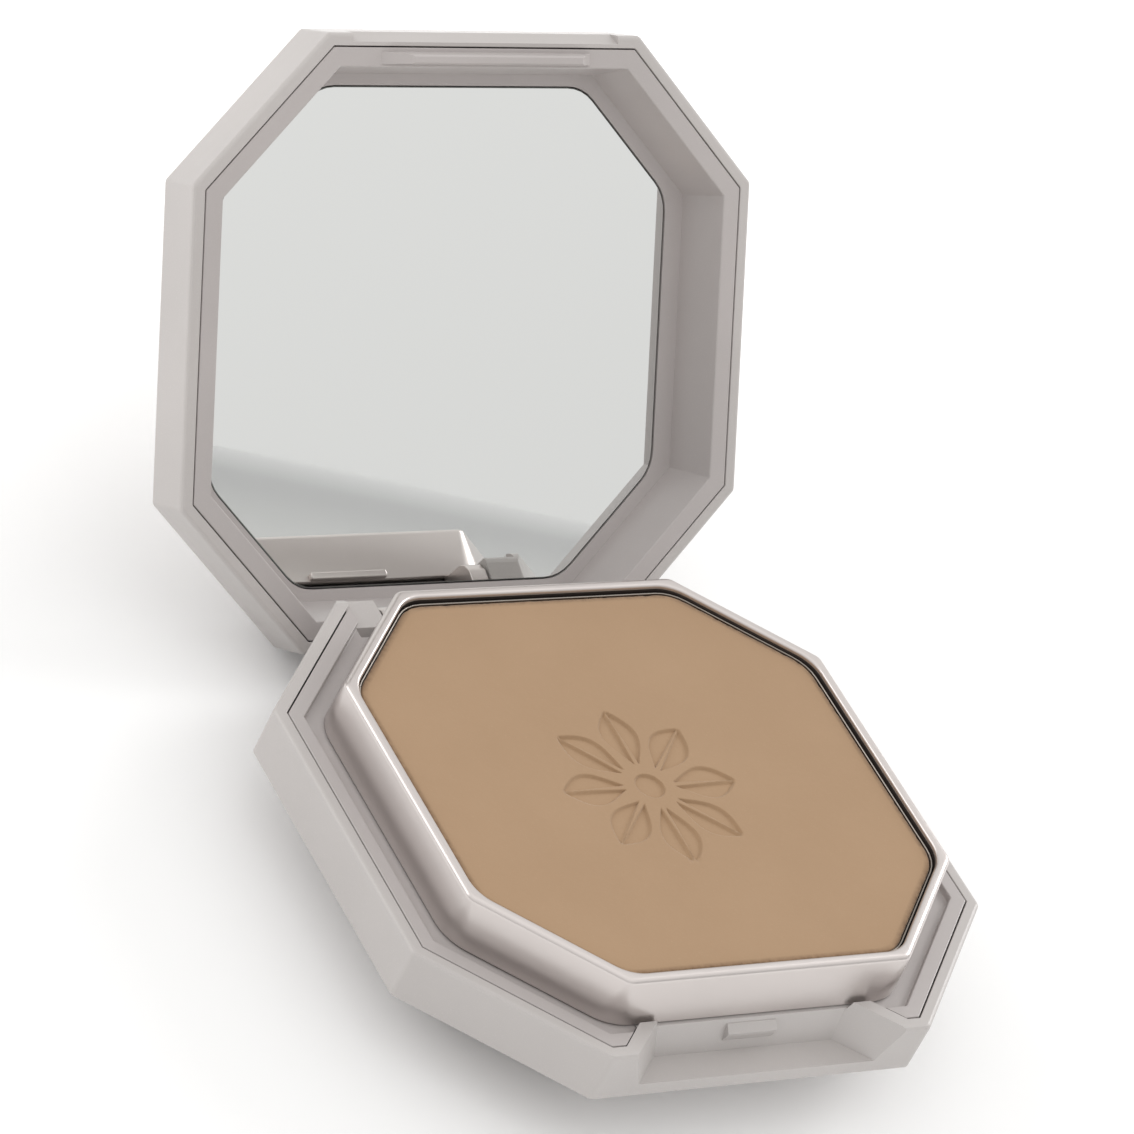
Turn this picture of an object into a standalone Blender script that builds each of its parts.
"""Octagonal powder compact: a hinged two-shell case with a mirror in the lid and a pressed powder pan.

The case stands on its flat underside at z = 0, with its hinge toward +Y and its finger notch
toward -Y. Every size below is in millimetres, and the meshes are built in metres.

Most pieces are octagonal rings or tubs. Each is drawn as a profile of (inset, height) points:
the inset is measured inward from the outer faces of the closed case, so neighbouring pieces
share one set of numbers. The lid is drawn shut, and one empty on the hinge axis opens it.
"""

import math

import bmesh
import bpy
from mathutils import Matrix, Vector

MM = 0.001

# The closed case, seen from above: a rectangle with its four corners cut at 45 degrees
HALF_WIDTH = 37.5
HALF_DEPTH = 34.5
CORNER_CUT = 16.65
DIAGONAL_REACH = HALF_WIDTH + HALF_DEPTH - CORNER_CUT

# Heights of the closed case
GIRDLE = 8.0
BASE_RIM = 14.45
LID_RIM = 14.6
LID_WALL_TOP = 20.7
LID_TOP = 25.0

# The outer shells
UNDERSIDE_INSET = 10.5
LID_TOP_INSET = 6.0
SHELL_WALL = 1.45
SEAM_GAP = 0.15
FRAME_OUTSIDE = SHELL_WALL + SEAM_GAP
SHELL_FLOOR = 1.5
RIM_ROUND = 0.45

# The base's inner frame
LEDGE = 13.5
LEDGE_INSET = 3.3
FRAME_THICK = 1.2

# The tray, its pan and the powder. The tray's long sides sit closer to the wall than its ends.
TRAY_FOOT = 13.65
TRAY_TOP = 20.1
TRAY_OUTSIDE = 5.25
TRAY_INSIDE = 6.9
TRAY_FLOOR = 14.7
PAN_SEAT = 15.7
PAN_OUTSIDE = 7.15
PAN_SHEET = 0.22
PAN_TOP = 19.26
POWDER_OUTSIDE = 7.42
POWDER_TOP = 19.2
TRAY_SIDE_SHIFT = (0.0, -0.45, -0.15)
PAN_SIDE_SHIFT = (0.0, -0.45, -0.3)
PAN_CORNER = 5.0

# The lid's inner frame and mirror
MIRROR_FACE = 21.2
MIRROR_BACK = 22.3
MIRROR_OUTSIDE = 7.4
MIRROR_SIDE_SHIFT = (0.0, -1.0, -0.75)
MIRROR_POCKET = 22.55
LID_FRAME_BACK = 23.35

# The finger notch in the front of the base
NOTCH_FLOOR = 9.7
NOTCH_BACK_LOW = -31.0
NOTCH_BACK_HIGH = -29.7

# The hinge: from the middle outward, the lid's barrel, the tray's two lugs, the base's two ears
HINGE_Y = 32.27
HINGE_Z = 9.13
OPEN_DEG = 126.2
BARREL_RADIUS = 2.1
BARREL_HALF = 13.4
LUG_INSIDE = 13.6
LUG_OUTSIDE = 15.9
LUG_TOP = 13.4
EAR_INSIDE = 16.15
EAR_OUTSIDE = 20.4
EAR_TOP = 13.4
CHANNEL_FRONT = 29.6
PIN_RADIUS = 0.8
PIN_END = 19.6
PIN_START = 8.0
BORE_CLEARANCE = 0.08

# The sponge under the tray
SPONGE_BOTTOM = 1.53
SPONGE_TOP = 7.6
SPONGE_INSET = 14.5

CORNER_STEPS = 4


def clear_scene():
    for obj in list(bpy.data.objects):
        bpy.data.objects.remove(obj, do_unlink=True)


def plastic(name, color, roughness, metallic=0.0):
    material = bpy.data.materials.new(name)
    material.use_nodes = True
    shader = material.node_tree.nodes["Principled BSDF"]
    shader.inputs["Base Color"].default_value = (*color, 1.0)
    shader.inputs["Roughness"].default_value = roughness
    shader.inputs["Metallic"].default_value = metallic
    material.diffuse_color = (*color, 1.0)
    return material


def octagon(insets, corner_radius):
    """The outline at the given insets from the case's side, end and diagonal faces."""
    side, end, diagonal = insets
    x = HALF_WIDTH - side
    y = HALF_DEPTH - end
    reach = DIAGONAL_REACH - math.sqrt(2) * diagonal
    corners = []
    for sx, sy in ((1, 1), (-1, 1), (-1, -1), (1, -1)):
        first = Vector((sx * x, sy * (reach - x)))
        second = Vector((sx * (reach - y), sy * y))
        corners += [first, second] if sx * sy > 0 else [second, first]
    outline = []
    for index, corner in enumerate(corners):
        before = (corners[index - 1] - corner).normalized()
        after = (corners[(index + 1) % 8] - corner).normalized()
        outline += rounded(corner, before, after, corner_radius, CORNER_STEPS)
    return outline


def rounded(corner, before, after, radius, steps):
    """Points of an arc that rounds a corner between two unit directions."""
    half_angle = before.angle(after) / 2
    center = corner + (before + after).normalized() * (radius / math.sin(half_angle))
    start = corner + before * (radius / math.tan(half_angle)) - center
    end = corner + after * (radius / math.tan(half_angle)) - center
    return [center + start.slerp(end, step / steps) * radius for step in range(steps + 1)]


def soft_profile(points):
    """A profile whose points (inset, height, radius) are rounded where their radius is above 0."""
    flat = [Vector(point[:2]) for point in points]
    result = []
    for index, point in enumerate(points):
        if point[2] == 0 or index in (0, len(points) - 1):
            result.append(flat[index])
            continue
        before = (flat[index - 1] - flat[index]).normalized()
        after = (flat[index + 1] - flat[index]).normalized()
        result += rounded(flat[index], before, after, point[2], 3)
    return result


def octagonal_mesh(profile, shift, corner_radius, closed_ring):
    """Loft octagons along a profile, as a ring, or as a solid capped at both ends of it.

    The corner radius is a function of a profile point's inset and height.
    """
    mesh = bmesh.new()
    loops = []
    for inset, height in soft_profile(profile):
        insets = [inset + offset for offset in shift]
        outline = octagon(insets, corner_radius(inset, height))
        loops.append([mesh.verts.new((p.x * MM, p.y * MM, height * MM)) for p in outline])
    count = len(loops[0])
    pairs = list(zip(loops, loops[1:]))
    if closed_ring:
        pairs.append((loops[-1], loops[0]))
    for lower, upper in pairs:
        for i in range(count):
            j = (i + 1) % count
            mesh.faces.new((lower[i], lower[j], upper[j], upper[i]))
    if not closed_ring:
        mesh.faces.new(loops[0][::-1])
        mesh.faces.new(loops[-1])
    bmesh.ops.recalc_face_normals(mesh, faces=mesh.faces)
    return mesh


def add_object(name, mesh, material=None, parent=None):
    data = bpy.data.meshes.new(name)
    mesh.to_mesh(data)
    mesh.free()
    obj = bpy.data.objects.new(name, data)
    bpy.context.collection.objects.link(obj)
    if material:
        data.materials.append(material)
    if parent:
        data.transform(Matrix.Translation((0, -HINGE_Y * MM, -HINGE_Z * MM)))
        obj.parent = parent
    return obj


def parallel_corners(outer_radius):
    """Corner radii that stay parallel to the case's own corners of the given radius."""
    return lambda inset, height: max(outer_radius - inset, 0.25)


def octagonal_part(name, material, profile, **options):
    shift = options.get("shift", (0.0, 0.0, 0.0))
    corner_radius = options.get("corner_radius", parallel_corners(0.8))
    mesh = octagonal_mesh(profile, shift, corner_radius, options.get("closed_ring", False))
    return add_object(name, mesh, material, options.get("parent"))


def prism(outline, start, end, axis):
    """A solid with an outline of (u, v) points, extruded along X or Z."""
    mesh = bmesh.new()
    rings = []
    for along in (start, end):
        if axis == "X":
            points = [(along, u, v) for u, v in outline]
        else:
            points = [(u, v, along) for u, v in outline]
        rings.append([mesh.verts.new(Vector(point) * MM) for point in points])
    count = len(outline)
    for i in range(count):
        j = (i + 1) % count
        mesh.faces.new((rings[0][i], rings[0][j], rings[1][j], rings[1][i]))
    mesh.faces.new(rings[0][::-1])
    mesh.faces.new(rings[1])
    bmesh.ops.recalc_face_normals(mesh, faces=mesh.faces)
    return mesh


def box(x, y, z):
    outline = [(y[0], z[0]), (y[1], z[0]), (y[1], z[1]), (y[0], z[1])]
    return prism(outline, x[0], x[1], "X")


def circle(center_u, center_v, radius, steps):
    angles = [2 * math.pi * step / steps for step in range(steps)]
    return [(center_u + radius * math.cos(a), center_v + radius * math.sin(a)) for a in angles]


def combine(target, operation, mesh, name):
    """Join a helper solid to a part, or cut it from one, with a live Boolean modifier."""
    helper = add_object(name, mesh)
    if target.parent:
        helper.data.transform(Matrix.Translation((0, -HINGE_Y * MM, -HINGE_Z * MM)))
        helper.parent = target.parent
    helper.hide_render = True
    helper.display_type = "WIRE"
    modifier = target.modifiers.new(name, "BOOLEAN")
    modifier.operation = operation
    modifier.solver = "EXACT"
    modifier.object = helper


def notch_mesh():
    """The finger notch: its back leans, its floor is shorter than its mouth, and its ends are flat."""
    front = -36.0
    top = 15.0
    floor_half = 11.7
    mouth_half = 12.6
    spread = 1.1
    lean = (NOTCH_BACK_HIGH - NOTCH_BACK_LOW) / (BASE_RIM - NOTCH_FLOOR)
    rings = []
    mesh = bmesh.new()
    for narrow, z in ((floor_half, NOTCH_FLOOR), (mouth_half, top)):
        back = NOTCH_BACK_LOW + lean * (z - NOTCH_FLOOR)
        wide = narrow + spread * (back - front)
        points = ((-wide, front), (wide, front), (narrow, back), (-narrow, back))
        rings.append([mesh.verts.new(Vector((x, y, z)) * MM) for x, y in points])
    lower, upper = rings
    for i in range(4):
        j = (i + 1) % 4
        mesh.faces.new((lower[i], lower[j], upper[j], upper[i]))
    mesh.faces.new(lower[::-1])
    mesh.faces.new(upper)
    bmesh.ops.recalc_face_normals(mesh, faces=mesh.faces)
    return mesh


def notch_surround(gap, back):
    """The plan of the shell's own material around the notch, widened by a gap for its neighbour."""
    wide = 18.6 + gap
    narrow = 15.1 + gap
    lean_end = min(back, -30.0)
    lean_x = wide - (wide - narrow) * (lean_end + 33.2) / 3.2
    right = [(wide, -33.4), (wide, -33.2), (lean_x, lean_end)]
    if back > lean_end:
        right.append((narrow, back))
    return right + [(-x, y) for x, y in reversed(right)]


def rear_round_outline():
    """The corner of material above and behind a rounded hinge ear, as (y, z) points."""
    radius = 1.8
    center_y = HALF_DEPTH - radius
    center_z = BASE_RIM - radius
    arc = []
    for step in range(7):
        angle = math.radians(90 - 15 * step)
        arc.append((center_y + radius * math.cos(angle), center_z + radius * math.sin(angle)))
    return arc + [(HALF_DEPTH + 1, center_z), (HALF_DEPTH + 1, BASE_RIM + 1), (center_y, BASE_RIM + 1)]


def base_outer_shell(material):
    slope = GIRDLE / UNDERSIDE_INSET
    lift = SHELL_FLOOR * math.sqrt(1 + slope**2)
    inner_bend = GIRDLE + lift - slope * SHELL_WALL
    floor_inset = (GIRDLE + lift - SHELL_FLOOR) / slope
    profile = [
        (UNDERSIDE_INSET + 0.6, 0, 0),
        (UNDERSIDE_INSET, 0, 0.6),
        (0, GIRDLE, 0.3),
        (0, BASE_RIM, RIM_ROUND),
        (SHELL_WALL, BASE_RIM, 0.1),
        (SHELL_WALL, inner_bend, 0),
        (floor_inset, SHELL_FLOOR, 0),
    ]
    shell = octagonal_part("base_outer_shell", material, profile)
    pocket = prism(notch_surround(0, -28.6), 8.6, LEDGE, "Z")
    combine(shell, "UNION", pocket, "notch_pocket")
    cheeks = prism(notch_surround(0, -30.1), LEDGE - 0.5, BASE_RIM, "Z")
    combine(shell, "UNION", cheeks, "notch_cheeks")
    combine(shell, "DIFFERENCE", notch_mesh(), "notch")
    combine(shell, "UNION", catch(), "catch")
    combine(shell, "UNION", rear_block(), "rear_block")
    channel = box((-EAR_INSIDE, EAR_INSIDE), (CHANNEL_FRONT, 36.0), (3.0, 16.0))
    combine(shell, "DIFFERENCE", channel, "barrel_channel")
    deck = box((-EAR_OUTSIDE, EAR_OUTSIDE), (28.0, 36.0), (EAR_TOP, 16.0))
    combine(shell, "DIFFERENCE", deck, "ear_deck")
    combine(shell, "DIFFERENCE", prism(rear_round_outline(), -24, 24, "X"), "rear_rounding")
    combine(shell, "DIFFERENCE", pin_bore(-PIN_END - 0.2, PIN_END + 0.2), "pin_bore")
    return shell


def catch():
    """The wedge on the notch's back wall: a slope that leads down to a nose, then an undercut."""
    outline = [(-29.3, 13.0), (-30.2, 13.0), (-31.1, 12.3), (-31.05, 11.9), (-30.6, 10.7), (-29.8, 10.7)]
    return prism(outline, -3.2, 3.2, "X")


def rear_block():
    """The block across the back that becomes the two hinge ears once the channel is cut."""
    rear = HALF_DEPTH - 0.7
    outline = [(28.8, 4.5), (rear, 8.3), (rear, EAR_TOP), (30.2, EAR_TOP), (29.65, 12.4), (28.8, 12.2)]
    return prism(outline, -EAR_OUTSIDE, EAR_OUTSIDE, "X")


def pin_bore(start, end):
    return prism(circle(HINGE_Y, HINGE_Z, PIN_RADIUS + BORE_CLEARANCE, 24), start, end, "X")


def base_inner_frame(material):
    profile = [
        (FRAME_OUTSIDE, 9.4, 0),
        (FRAME_OUTSIDE, BASE_RIM, 0.12),
        (LEDGE_INSET, BASE_RIM, 0.15),
        (LEDGE_INSET, LEDGE, 0.2),
        (9.5, LEDGE, 0),
        (9.5, LEDGE - FRAME_THICK, 0),
        (FRAME_OUTSIDE + FRAME_THICK, LEDGE - FRAME_THICK, 0.3),
        (FRAME_OUTSIDE + FRAME_THICK, 9.4, 0),
    ]
    frame = octagonal_part("base_inner_frame", material, profile, closed_ring=True)
    front = prism(notch_surround(SEAM_GAP, -28.45), 5.0, 16.0, "Z")
    combine(frame, "DIFFERENCE", front, "front_gap")
    rear = box((-EAR_OUTSIDE - 0.15, EAR_OUTSIDE + 0.15), (28.65, 36.0), (5.0, 16.0))
    combine(frame, "DIFFERENCE", rear, "rear_gap")
    return frame


def tray_corner(inset, height):
    """The tray's corners: wide along its foot and its inner edge, tight around its outer top edge."""
    if inset > TRAY_OUTSIDE + 1.0:
        return 5.0
    rise = (height - TRAY_FOOT) / (TRAY_TOP - TRAY_FOOT)
    return 6.2 - 5.0 * rise


def tray_frame(material, parent):
    profile = [
        (TRAY_OUTSIDE + 1.3, TRAY_FLOOR, 0),
        (TRAY_OUTSIDE + 1.2, TRAY_FOOT, 0),
        (TRAY_OUTSIDE, TRAY_FOOT, 0.15),
        (TRAY_OUTSIDE + 0.4, TRAY_TOP, 0.4),
        (TRAY_INSIDE, TRAY_TOP, 0.35),
        (TRAY_INSIDE, PAN_SEAT, 0),
    ]
    options = {"shift": TRAY_SIDE_SHIFT, "corner_radius": tray_corner, "parent": parent}
    frame = octagonal_part("tray_frame", material, profile, **options)
    for side, sign in (("left", -1), ("right", 1)):
        lug = prism(lug_outline(), sign * LUG_INSIDE, sign * LUG_OUTSIDE, "X")
        combine(frame, "UNION", lug, f"lug_{side}")
        combine(frame, "DIFFERENCE", pin_bore(sign * 13.0, sign * 17.0), f"lug_bore_{side}")
    finger_tab = box((-5.2, 5.2), (28.6, 30.35), (TRAY_FOOT, TRAY_FOOT + 0.95))
    combine(frame, "UNION", finger_tab, "finger_tab")
    return frame


def lug_outline():
    """A hinge lug as (y, z) points: round below the pin, flat on top, with an arm under the tray."""
    below = []
    for step in range(9):
        angle = math.radians(200 + 20 * step)
        y = HINGE_Y + BARREL_RADIUS * math.cos(angle)
        below.append((y, HINGE_Z + BARREL_RADIUS * math.sin(angle)))
    top = [(34.3, 11.9), (33.7, 12.9), (32.7, LUG_TOP), (29.2, LUG_TOP + 0.2), (29.2, 15.2)]
    return below + top + [(28.2, 15.2), (28.2, TRAY_FOOT), (28.9, TRAY_FOOT), (29.75, 12.6)]


def powder_pan(material, parent):
    inner = PAN_OUTSIDE + PAN_SHEET
    bottom = PAN_SEAT + 0.3
    profile = [
        (PAN_OUTSIDE + 0.5, bottom, 0),
        (PAN_OUTSIDE, bottom, 0.4),
        (PAN_OUTSIDE, PAN_TOP, 0.1),
        (inner, PAN_TOP, 0.1),
        (inner, bottom + PAN_SHEET, 0.1),
        (inner + 0.4, bottom + PAN_SHEET, 0),
    ]
    options = {"shift": PAN_SIDE_SHIFT, "corner_radius": parallel_corners(PAN_CORNER + PAN_OUTSIDE)}
    return octagonal_part("powder_pan", material, profile, parent=parent, **options)


def powder_cake(material, parent):
    bottom = PAN_SEAT + 0.3 + PAN_SHEET + 0.05
    profile = [
        (POWDER_OUTSIDE + 0.2, bottom, 0),
        (POWDER_OUTSIDE, bottom + 0.2, 0),
        (POWDER_OUTSIDE, POWDER_TOP, 0.3),
        (POWDER_OUTSIDE + 0.8, POWDER_TOP, 0),
    ]
    options = {"shift": PAN_SIDE_SHIFT, "corner_radius": parallel_corners(PAN_CORNER + PAN_OUTSIDE)}
    return octagonal_part("powder_cake", material, profile, parent=parent, **options)


def pan_adhesive(material, parent):
    profile = [(13.0, PAN_SEAT + 0.03, 0), (13.0, PAN_SEAT + 0.27, 0)]
    corners = parallel_corners(17.0)
    return octagonal_part("pan_adhesive", material, profile, parent=parent, corner_radius=corners)


def lid_outer_shell(material, parent):
    slope = (LID_TOP - LID_WALL_TOP) / LID_TOP_INSET
    drop = SHELL_WALL * math.sqrt(1 + slope**2)
    ceiling = LID_TOP - SHELL_WALL
    inner_bend = LID_WALL_TOP - drop + slope * SHELL_WALL
    profile = [
        ((ceiling - LID_WALL_TOP + drop) / slope, ceiling, 0),
        (SHELL_WALL, inner_bend, 0),
        (SHELL_WALL, LID_RIM, 0.1),
        (0, LID_RIM, RIM_ROUND),
        (0, LID_WALL_TOP, 0.3),
        (LID_TOP_INSET, LID_TOP, 0.5),
        (LID_TOP_INSET + 0.6, LID_TOP, 0),
    ]
    shell = octagonal_part("lid_outer_shell", material, profile, parent=parent)
    bevel = [(-HALF_DEPTH - 1, LID_RIM - 1), (-33.5, LID_RIM - 1), (-33.5, LID_RIM)]
    bevel += [(-HALF_DEPTH - 0.1, LID_RIM + 1.9), (-HALF_DEPTH - 1, LID_RIM + 1.9)]
    combine(shell, "DIFFERENCE", prism(bevel, -17.8, 17.8, "X"), "finger_bevel")
    return shell


def lid_inner_frame(material, parent):
    pocket = MIRROR_OUTSIDE - 0.15
    profile = [
        (pocket + 0.5, LID_FRAME_BACK, 0),
        (6.5, LID_FRAME_BACK, 0.2),
        (3.45, 21.1, 0.3),
        (2.6, LID_RIM + FRAME_THICK, 0.1),
        (FRAME_OUTSIDE, LID_RIM + FRAME_THICK, 0),
        (FRAME_OUTSIDE, LID_RIM, 0.12),
        (3.75, LID_RIM, 0.2),
        (4.95, LID_RIM + 6.35, 0.2),
    ]
    mesh = lid_frame_mesh(profile, pocket)
    frame = add_object("lid_inner_frame", mesh, material, parent)
    combine(frame, "UNION", hinge_neck(), "hinge_neck")
    barrel = prism(circle(HINGE_Y, HINGE_Z, BARREL_RADIUS, 40), -BARREL_HALF, BARREL_HALF, "X")
    combine(frame, "UNION", barrel, "hinge_barrel")
    combine(frame, "DIFFERENCE", pin_bore(PIN_START - 0.3, 17.0), "barrel_bore_right")
    combine(frame, "DIFFERENCE", pin_bore(-17.0, 0.3 - PIN_START), "barrel_bore_left")
    combine(frame, "UNION", latch_bar(), "latch_bar")
    return frame


def lid_frame_mesh(profile, pocket):
    """The lid's inner frame: the plain profile, then a pocket with the mirror's own outline."""
    mesh = bmesh.new()
    levels = [(inset, height, (0.0, 0.0, 0.0), 0.25) for inset, height in soft_profile(profile)]
    for inset, height in ((pocket, LID_RIM + 6.5), (pocket, MIRROR_POCKET)):
        levels.append((inset, height, MIRROR_SIDE_SHIFT, PAN_CORNER))
    loops = []
    for inset, height, shift, radius in levels:
        outline = octagon([inset + offset for offset in shift], radius)
        loops.append([mesh.verts.new((p.x * MM, p.y * MM, height * MM)) for p in outline])
    count = len(loops[0])
    for lower, upper in zip(loops, loops[1:]):
        for i in range(count):
            j = (i + 1) % count
            mesh.faces.new((lower[i], lower[j], upper[j], upper[i]))
    mesh.faces.new(loops[0][::-1])
    mesh.faces.new(loops[-1])
    bmesh.ops.recalc_face_normals(mesh, faces=mesh.faces)
    return mesh


def hinge_neck():
    """The web that carries the hinge barrel below the lid's rear rim."""
    outline = [
        (HINGE_Y - 1.6, HINGE_Z),
        (HALF_DEPTH - 0.2, HINGE_Z),
        (HALF_DEPTH - 0.2, LID_RIM - 0.1),
        (HALF_DEPTH - FRAME_OUTSIDE - 0.05, LID_RIM - 0.1),
        (HALF_DEPTH - FRAME_OUTSIDE - 0.05, LID_RIM + 1.0),
        (HALF_DEPTH - 3.6, LID_RIM + 1.0),
    ]
    return prism(outline, -BARREL_HALF, BARREL_HALF, "X")


def latch_bar():
    """The bar along the lid's front rim that drops into the notch and clips over the catch."""
    mesh = bmesh.new()
    rings = []
    for z, half, front, back in (
        (LID_RIM + 0.5, 14.2, -32.45, -31.0),
        (LID_RIM, 14.0, -32.45, -31.05),
        (LID_RIM - 1.6, 12.4, -32.35, -31.25),
        (LID_RIM - 2.4, 11.6, -32.3, -31.25),
        (LID_RIM - 2.6, 11.3, -32.1, -31.45),
    ):
        points = ((-half, front), (half, front), (half, back), (-half, back))
        rings.append([mesh.verts.new(Vector((x, y, z)) * MM) for x, y in points])
    for lower, upper in zip(rings, rings[1:]):
        for i in range(4):
            j = (i + 1) % 4
            mesh.faces.new((lower[i], lower[j], upper[j], upper[i]))
    mesh.faces.new(rings[0][::-1])
    mesh.faces.new(rings[-1])
    bmesh.ops.recalc_face_normals(mesh, faces=mesh.faces)
    return mesh


def mirror_glass(material, parent):
    profile = [
        (MIRROR_OUTSIDE + 0.1, MIRROR_FACE, 0),
        (MIRROR_OUTSIDE, MIRROR_FACE + 0.1, 0),
        (MIRROR_OUTSIDE, MIRROR_BACK, 0),
    ]
    corners = parallel_corners(PAN_CORNER + MIRROR_OUTSIDE)
    options = {"shift": MIRROR_SIDE_SHIFT, "corner_radius": corners}
    return octagonal_part("mirror_glass", material, profile, parent=parent, **options)


def mirror_adhesive(material, parent):
    profile = [(12.0, MIRROR_BACK + 0.03, 0), (12.0, MIRROR_POCKET - 0.03, 0)]
    corners = parallel_corners(16.0)
    return octagonal_part("mirror_adhesive", material, profile, parent=parent, corner_radius=corners)


def sponge_pad(material):
    profile = [
        (SPONGE_INSET + 1.5, SPONGE_BOTTOM, 0),
        (SPONGE_INSET, SPONGE_BOTTOM, 0.8),
        (SPONGE_INSET, SPONGE_TOP, 1.4),
        (SPONGE_INSET + 2.5, SPONGE_TOP, 0),
    ]
    options = {"shift": (0.0, 0.0, -2.0), "corner_radius": parallel_corners(20.0)}
    return octagonal_part("sponge_pad", material, profile, **options)


def hinge_pins(material):
    for side, start, end in (("left", -PIN_END, -PIN_START), ("right", PIN_START, PIN_END)):
        mesh = prism(circle(HINGE_Y, HINGE_Z, PIN_RADIUS, 20), start, end, "X")
        pin = add_object(f"hinge_pin_{side}", mesh, material)
        for face in pin.data.polygons:
            face.use_smooth = len(face.vertices) == 4


def add_hinge_axis(name, degrees):
    axis = bpy.data.objects.new(name, None)
    axis.location = (0, HINGE_Y * MM, HINGE_Z * MM)
    axis.rotation_euler = (math.radians(degrees), 0, 0)
    bpy.context.collection.objects.link(axis)
    return axis


def main():
    clear_scene()
    shell_gray = plastic("shell_gray", (0.60, 0.56, 0.545), 0.38)
    frame_gray = plastic("frame_gray", (0.57, 0.53, 0.515), 0.36)
    chrome = plastic("champagne_chrome", (0.80, 0.73, 0.71), 0.12, 1.0)
    tin = plastic("tinplate", (0.72, 0.72, 0.70), 0.3, 1.0)
    powder = plastic("pressed_powder", (0.456, 0.302, 0.181), 0.95)
    glass = plastic("mirror_silver", (0.86, 0.87, 0.86), 0.02, 1.0)
    tape = plastic("white_tape", (0.80, 0.80, 0.78), 0.8)
    steel = plastic("pin_steel", (0.62, 0.61, 0.60), 0.25, 1.0)
    foam = plastic("foam", (0.86, 0.74, 0.60), 0.95)

    tray_axis = add_hinge_axis("tray_axis", 0)
    lid_axis = add_hinge_axis("lid_axis", -OPEN_DEG)

    base_outer_shell(shell_gray)
    base_inner_frame(frame_gray)
    sponge_pad(foam)
    tray_frame(chrome, tray_axis)
    powder_pan(tin, tray_axis)
    powder_cake(powder, tray_axis)
    pan_adhesive(tape, tray_axis)
    hinge_pins(steel)
    lid_outer_shell(shell_gray.copy(), lid_axis)
    lid_inner_frame(frame_gray.copy(), lid_axis)
    mirror_glass(glass, lid_axis)
    mirror_adhesive(tape.copy(), lid_axis)


main()
